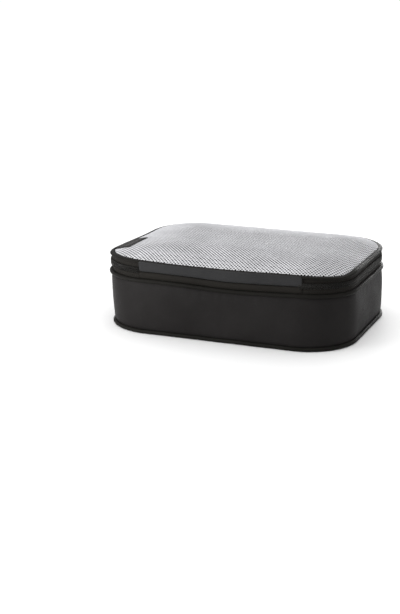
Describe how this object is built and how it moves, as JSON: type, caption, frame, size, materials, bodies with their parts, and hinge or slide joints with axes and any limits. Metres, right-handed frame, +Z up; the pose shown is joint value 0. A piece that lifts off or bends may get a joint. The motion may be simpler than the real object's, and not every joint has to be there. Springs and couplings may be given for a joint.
{
  "type": "packing cube",
  "caption": "Soft rectangular packing cube with a charcoal fabric wall, round-cornered piping, a crowned grey mesh lid on a fabric fold and a two-way zipper.",
  "frame": {"origin": "centre of the flat bottom panel, on the surface it rests on", "axes": "+X along the length with the side label at the -X end, -Y the side the lid folds on, +Y the side where the zipper sliders meet, +Z up through the mesh lid"},
  "size_m": [0.2856, 0.2066, 0.0918],
  "materials": {
    "shell_fabric": "charcoal polyester, soft sheen",
    "piping_fabric": "black polyester, satin",
    "filler_cord": "spun filler cord",
    "binding_tape": "black grosgrain tape",
    "zipper_tape": "black woven zipper tape",
    "zipper_coil": "black nylon coil, satin",
    "strip_fabric": "charcoal polyester, soft sheen",
    "mesh": "light grey honeycomb mesh",
    "label_weave": "dark woven label",
    "slider_metal": "black painted die casting"
  },
  "bodies": {
    "base": {"bottom_panel": "shell_fabric", "gusset_wall": "shell_fabric", "bottom_piping": "piping_fabric", "bottom_piping_cord": "filler_cord", "bottom_seam_binding": "binding_tape", "middle_piping": "piping_fabric", "middle_piping_cord": "filler_cord", "middle_seam_binding": "binding_tape", "zipper_tape_lower": "zipper_tape", "zipper_coil_lower": "zipper_coil"},
    "lid": {"mesh_panel": "mesh", "lid_binding": "piping_fabric", "lid_seam_binding": "binding_tape", "zipper_tape_upper": "zipper_tape", "zipper_coil_upper": "zipper_coil", "hinge_strip": "strip_fabric"},
    "label": {"side_label": "label_weave"},
    "slider_l": {"slider_left": "slider_metal"},
    "slider_r": {"slider_right": "slider_metal"},
    "tab_l": {"pull_left": "slider_metal"},
    "tab_r": {"pull_right": "slider_metal"}
  },
  "joints": [
    {"name": "lid_fold", "type": "hinge", "parent": "base", "child": "lid", "pos_m": [0, -0.1022, 0.063], "axis": [1, 0, 0], "range_deg": [0, 180]},
    {"name": "label_flip", "type": "hinge", "parent": "lid", "child": "label", "pos_m": [-0.1349, -0.037, 0.0829], "axis": [0, -1, 0], "range_deg": [0, 150]},
    {"name": "slider_left_run", "type": "slide", "parent": "base", "child": "slider_l", "axis": [-1, 0, 0], "range_m": [0, 0.074]},
    {"name": "slider_right_run", "type": "slide", "parent": "base", "child": "slider_r", "axis": [1, 0, 0], "range_m": [0, 0.074]},
    {"name": "pull_left_swing", "type": "hinge", "parent": "slider_l", "child": "tab_l", "pos_m": [-0.0063, 0.1033, 0.0713], "axis": [1, 0, 0], "range_deg": [0, 160]},
    {"name": "pull_right_swing", "type": "hinge", "parent": "slider_r", "child": "tab_r", "pos_m": [0.0063, 0.1033, 0.0713], "axis": [1, 0, 0], "range_deg": [0, 160]}
  ]
}
